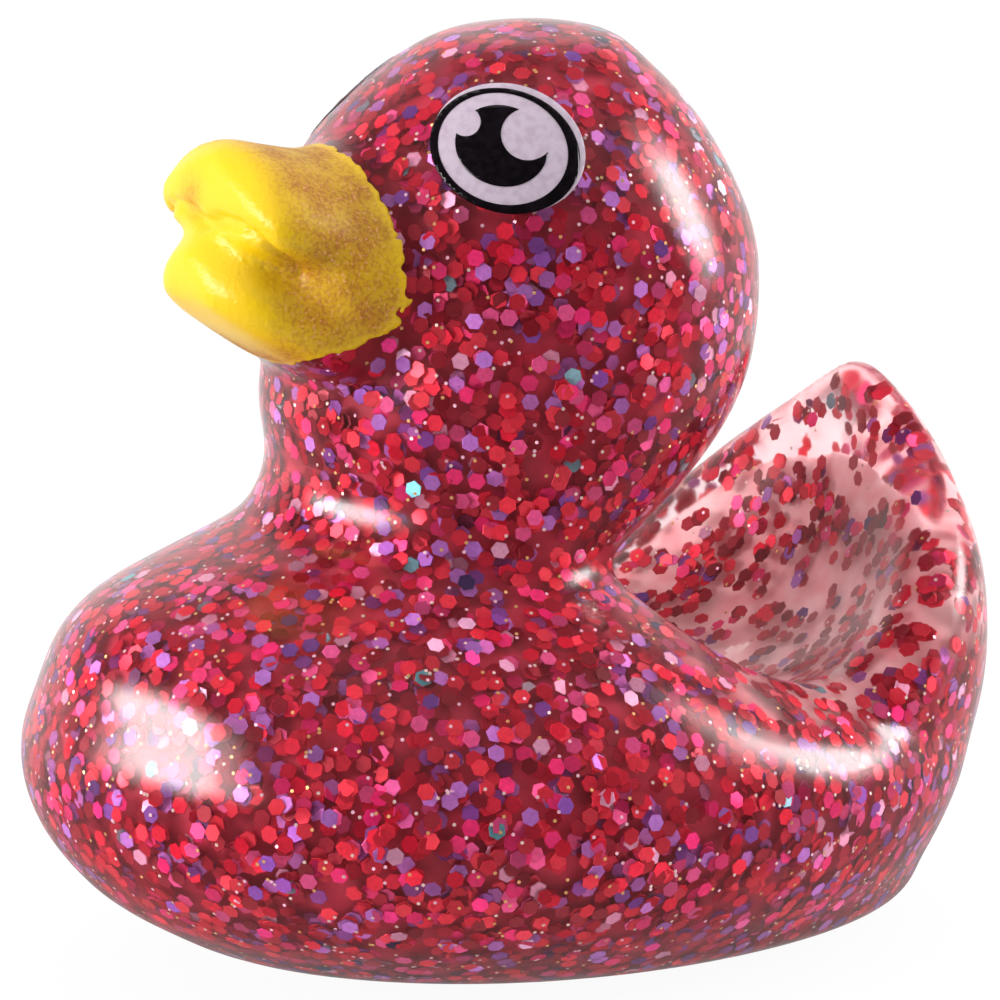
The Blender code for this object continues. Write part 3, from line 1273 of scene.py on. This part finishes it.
@dataclass
class Studio:
    """The white floor, the soft boxes, the surround and the camera."""

    azimuth: float = 60.0
    elevation: float = 13.0
    distance: float = 0.45
    view_width: float = 59.7 * MM
    across: float = -0.5 * MM
    height: float = 25.7 * MM
    lamp_distance: float = 0.42
    layer_gap: float = 0.004
    floor_size: float = 8.0
    floor_drop: float = 0.1 * MM
    floor_seen: float = 0.95
    floor_gloss: Fade = Fade((-0.1, 0.06), (0.95, 0.1))
    floor_light: Fade = Fade((0.0, 0.12), (0.5, 0.14))
    floor_tone: Fade = Fade((0.0, 0.12), (0.9, 0.35))
    surround_gloss: Fade = Fade((-0.85, -0.2), (1.0, 0.08))
    surround_light: Fade = Fade((-0.7, 0.3), (1.6, 0.1))
    dim_towards_camera: float = 0.4
    dim_upwards: float = -0.8

    def build(self) -> None:
        """Sets up the camera, the lamps, the floor and the surround."""
        right, up, back = axes_towards(self.azimuth, self.elevation)
        target = right * self.across + up * self.height
        self._camera(target, back)
        for box in SOFT_BOXES:
            direction = right * box.side[0] + up * box.side[1] + back * box.side[2]
            for layer, (scale, share) in enumerate(FEATHERING):
                place = target + direction.normalized() * (self.lamp_distance - layer * self.layer_gap)
                self._hang(box, target, place, scale, share)
        self._floor(back)
        self._surround(back)
        bpy.context.scene.view_settings.view_transform = "Standard"

    def _camera(self, target: Vector, back: Vector) -> None:
        """Places the camera.

        Args:
            target: The point at the middle of the picture.
            back: The direction from the object to the camera.
        """
        data = bpy.data.cameras.new("camera")
        data.sensor_width = 36.0
        data.lens = data.sensor_width * self.distance / self.view_width
        data.clip_start = 0.01
        data.clip_end = 50.0
        camera = bpy.data.objects.new("camera", data)
        bpy.context.scene.collection.objects.link(camera)
        camera.location = target + back * self.distance
        camera.rotation_euler = (-back).to_track_quat("-Z", "Y").to_euler()
        bpy.context.scene.camera = camera

    def _hang(self, box: SoftBox, target: Vector, place: Vector, scale: float, share: float) -> None:
        """Hangs one layer of a soft box, brighter towards its middle as a real one is.

        Args:
            box: The soft box.
            target: What it lights.
            place: Where it hangs.
            scale: The layer's size as a share of the box's.
            share: The layer's share of the power.
        """
        data = bpy.data.lights.new(box.name, "AREA")
        data.shape = "ELLIPSE"
        data.size = box.size[0] * scale
        data.size_y = box.size[1] * scale
        data.energy = box.power * share
        lamp = bpy.data.objects.new(box.name, data)
        bpy.context.scene.collection.objects.link(lamp)
        lamp.location = place
        facing = (target - place).to_track_quat("-Z", "Y")
        lamp.rotation_euler = (facing @ Quaternion((0.0, 0.0, 1.0), math.radians(box.roll))).to_euler()

    def _front(self, shop: NodeShop, place: bpy.types.NodeSocket,
               side: Vector) -> bpy.types.NodeSocket:
        """Measures how far a place or a direction lies towards one side."""
        node = shop.add("ShaderNodeVectorMath", operation="DOT_PRODUCT")
        shop.link(place, node.inputs[0])
        node.inputs[1].default_value = side
        return node.outputs["Value"]

    def _fade(self, shop: NodeShop, front: bpy.types.NodeSocket, fade: Fade) -> bpy.types.NodeSocket:
        """Fades a level from one side of the studio to the other.

        Args:
            shop: The node maker.
            front: How far a place or a direction lies towards the second side.
            fade: The limits and the levels.

        Returns:
            The socket with the level.
        """
        node = shop.add("ShaderNodeMapRange", interpolation_type="SMOOTHSTEP")
        node.inputs["From Min"].default_value = fade.limits[0]
        node.inputs["From Max"].default_value = fade.limits[1]
        node.inputs["To Min"].default_value = fade.levels[0]
        node.inputs["To Max"].default_value = fade.levels[1]
        shop.link(front, node.inputs["Value"])
        return node.outputs["Result"]

    def _by_ray(self, shop: NodeShop, level: float | bpy.types.NodeSocket,
                gloss: float | bpy.types.NodeSocket, through: float | bpy.types.NodeSocket,
                seen: float) -> bpy.types.NodeSocket:
        """Picks a level by what kind of ray asks for it.

        Args:
            shop: The node maker.
            level: The level as a light on the object.
            gloss: The level that gloss shows.
            through: The level that the clear wall lets through.
            seen: The level that the camera sees.

        Returns:
            The socket with the level.
        """
        path = shop.add("ShaderNodeLightPath")
        rays = (("Is Glossy Ray", gloss), ("Is Transmission Ray", through), ("Is Camera Ray", seen))
        for ray, answer in rays:
            pick = shop.add("ShaderNodeMix", data_type="FLOAT")
            shop.link(path.outputs[ray], pick.inputs[MIX_SHARE])
            for value, number in zip((level, answer), MIX_FLOATS):
                if isinstance(value, float):
                    pick.inputs[number].default_value = value
                else:
                    shop.link(value, pick.inputs[number])
            level = pick.outputs[MIX_FLOAT_OUT]
        return level

    def _floor(self, back: Vector) -> None:
        """Lays the floor, which looks white and keeps the object's shadow.

        Args:
            back: The direction from the object to the camera of the photograph.
        """
        bpy.ops.object.select_all(action="DESELECT")
        bpy.ops.mesh.primitive_plane_add(size=self.floor_size, location=(0.0, 0.0, -self.floor_drop))
        floor = bpy.context.active_object
        floor.name = "floor"
        material = bpy.data.materials.new("white_floor")
        material.use_nodes = True
        shop = NodeShop(material.node_tree)
        shader = material.node_tree.nodes["Principled BSDF"]
        shader.inputs["Roughness"].default_value = 0.9
        shader.inputs["Specular IOR Level"].default_value = 0.0
        place = shop.add("ShaderNodeTexCoord")
        front = self._front(shop, place.outputs["Object"], back)
        gloss = self._fade(shop, front, self.floor_gloss)
        light = self._fade(shop, front, self.floor_light)
        shop.link(self._fade(shop, front, self.floor_tone), shader.inputs["Base Color"])
        glow = shop.add("ShaderNodeEmission")
        both = shop.add("ShaderNodeMixShader")
        shop.link(self._by_ray(shop, light, 1.0, gloss, self.floor_seen), both.inputs["Fac"])
        shop.link(self._by_ray(shop, 1.0, gloss, 1.0, 1.0), glow.inputs["Strength"])
        shop.link(shader.outputs["BSDF"], both.inputs[1])
        shop.link(glow.outputs["Emission"], both.inputs[2])
        out = material.node_tree.nodes["Material Output"]
        shop.link(both.outputs["Shader"], out.inputs["Surface"])
        floor.data.materials.append(material)

    def _surround(self, back: Vector) -> None:
        """Makes the surround: white behind the object, and dimmer in front of it and from below.

        Args:
            back: The direction from the object to the camera of the photograph.
        """
        world = bpy.data.worlds.new("surround")
        world.use_nodes = True
        bpy.context.scene.world = world
        shop = NodeShop(world.node_tree)
        background = world.node_tree.nodes["Background"]
        background.inputs["Color"].default_value = (1.0, 1.0, 1.0, 1.0)
        place = shop.add("ShaderNodeTexCoord")
        front = self._front(shop, place.outputs["Generated"], back)
        lean = back * self.dim_towards_camera + Vector((0.0, 0.0, self.dim_upwards))
        dim_side = self._front(shop, place.outputs["Generated"], lean)
        light = self._fade(shop, dim_side, self.surround_light)
        gloss = self._fade(shop, front, self.surround_gloss)
        shop.link(self._by_ray(shop, light, gloss, gloss, 1.0), background.inputs["Strength"])


def main() -> None:
    """Builds the pieces in order and reports each one."""
    logging.basicConfig(level=logging.INFO, format="%(name)s: %(message)s")
    shell = MouldedShell()
    wall = shell.build()
    outside = shell.is_outer.sum()
    LOG.info("%s: %d faces, %d of them outside", wall.name, len(wall.data.polygons), outside)
    bill = BillCoat(shell)
    pieces = [bill.build()]
    pieces += EyePrint(shell).build()
    glitter = Glitter(shell)
    pieces += glitter.build(bill.covers)
    for name in ("flake", "dot"):
        bpy.data.objects.remove(bpy.data.objects[name])
    for piece in pieces:
        LOG.info("%s: %d faces", piece.name, len(piece.data.polygons))
    Studio().build()


if __name__ == "__main__":
    main()
